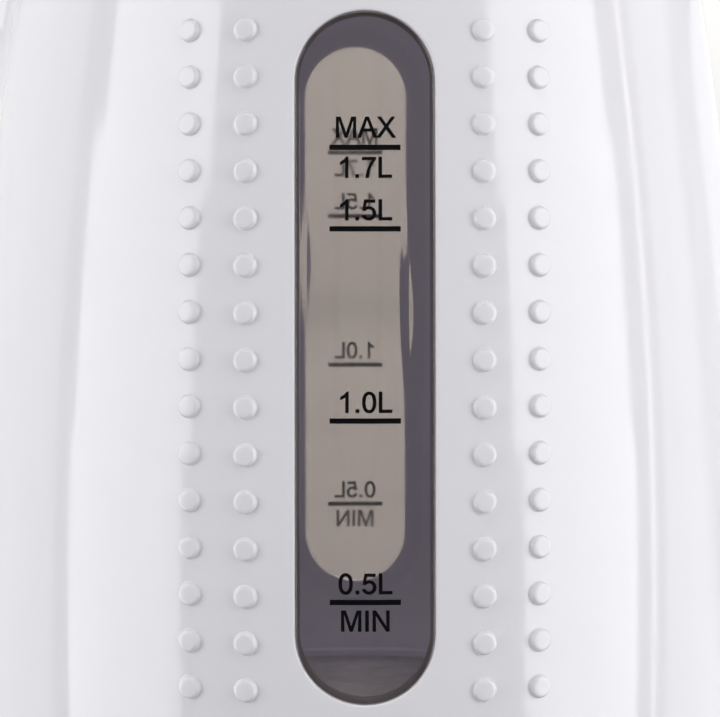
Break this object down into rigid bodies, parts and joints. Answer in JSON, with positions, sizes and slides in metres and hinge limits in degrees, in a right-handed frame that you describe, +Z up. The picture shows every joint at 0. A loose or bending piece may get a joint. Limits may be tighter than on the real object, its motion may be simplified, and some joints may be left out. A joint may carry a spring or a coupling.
{
  "type": "electric kettle",
  "caption": "Cordless white plastic jug kettle on a round power base, with tinted water gauge windows, raised grip dots, loop handle and sprung hinged lid.",
  "frame": {"origin": "on the jug's vertical axis, on the surface that the power base stands on", "axes": "+Z up along the jug's axis, -X along the spout, +X through the handle, the two gauge windows on -Y and +Y"},
  "size_m": [0.2065, 0.156, 0.228],
  "materials": {
    "white_gloss": "glossy moulded white plastic",
    "window_clear": "smoke-tinted clear plastic, polished",
    "white_satin": "satin white plastic",
    "grey_gloss": "glossy pale grey plastic",
    "black_plastic": "black glass-filled nylon",
    "cream_plastic": "cream heat-resistant plastic",
    "stainless": "brushed stainless steel",
    "bright_steel": "zinc plated steel",
    "aluminium": "die-cast aluminium",
    "brass_contact": "plated brass",
    "silicone": "grey silicone rubber",
    "foot_rubber": "grey rubber",
    "lead_red": "silicone-sleeved lead",
    "lens_amber": "amber clear plastic",
    "lamp_glass": "neon lamp glass"
  },
  "bodies": {
    "power_base": {"base_cover": "white_gloss", "base_plate": "white_satin", "foot_ring": "foot_rubber", "base_screws": "bright_steel", "base_tower": "black_plastic", "base_live_contact": "brass_contact", "base_neutral_contact": "brass_contact", "base_earth_contact": "brass_contact", "cord_gland": "white_gloss"},
    "guide_ring": {"swivel_ring": "black_plastic"},
    "jug": {"body_shell": "white_gloss", "spout": "white_gloss", "top_collar": "white_gloss", "gauge_pane_near": "window_clear", "gauge_pane_far": "window_clear", "gauge_seal_near": "silicone", "gauge_seal_far": "silicone", "heating_plate": "stainless", "plate_seal": "silicone", "clamp_ring": "bright_steel", "heat_spreader": "aluminium", "heating_tube": "stainless", "element_terminals": "bright_steel", "internal_leads": "lead_red", "socket_housing": "black_plastic", "socket_pin": "brass_contact", "socket_neutral_blade": "brass_contact", "socket_earth_blade": "brass_contact", "control_unit": "cream_plastic", "dry_boil_discs": "brass_contact", "steam_tube": "white_satin", "switch_housing": "cream_plastic", "steam_bimetal": "brass_contact", "trip_rod": "white_satin", "switch_pin": "bright_steel", "switch_spring": "bright_steel", "indicator_lamp": "lamp_glass", "indicator_lens": "lens_amber", "bottom_cover": "white_satin", "bottom_screws": "bright_steel", "handle_outer": "white_gloss", "handle_inner": "white_satin", "handle_screws": "bright_steel", "latch_carrier": "white_satin", "button_spring": "bright_steel", "lid_pin": "bright_steel", "lid_spring": "bright_steel"},
    "lid": {"lid_cover": "white_gloss", "lid_liner": "white_satin", "lid_seal": "silicone", "lid_screws": "bright_steel"},
    "filter": {"filter_frame": "grey_gloss", "filter_mesh": "stainless"},
    "switch": {"switch_lever": "grey_gloss"},
    "latch": {"lid_latch": "white_satin", "latch_spring": "bright_steel"},
    "button": {"lid_button": "grey_gloss"}
  },
  "joints": [
    {"name": "base_swivel", "type": "hinge", "parent": "power_base", "child": "guide_ring", "pos_m": [0, 0, 0.018], "axis": [0, 0, 1], "continuous": true},
    {"name": "jug_lift", "type": "slide", "parent": "guide_ring", "child": "jug", "axis": [0, 0, 1], "range_m": [0, 0.1]},
    {"name": "lid_hinge", "type": "hinge", "parent": "jug", "child": "lid", "pos_m": [0.054, 0, 0.2155], "axis": [0, 1, 0], "range_deg": [0, 75]},
    {"name": "filter_unclip", "type": "slide", "parent": "jug", "child": "filter", "axis": [1, 0, 0], "range_m": [0, 0.014]},
    {"name": "switch_hinge", "type": "hinge", "parent": "jug", "child": "switch", "pos_m": [0.062, 0, 0.0315], "axis": [0, 1, 0], "range_deg": [0, 10]},
    {"name": "button_press", "type": "slide", "parent": "jug", "child": "button", "axis": [0, 0, -1], "range_m": [0, 0.003], "stiffness_N_per_m": 800, "deforming": ["button_spring"]},
    {"name": "latch_slide", "type": "slide", "parent": "jug", "child": "latch", "axis": [1, 0, 0], "range_m": [0, 0.0025]}
  ],
  "couplings": [
    {"joint": "latch_slide", "follows": "button_press", "ratio": 0.8333}
  ]
}
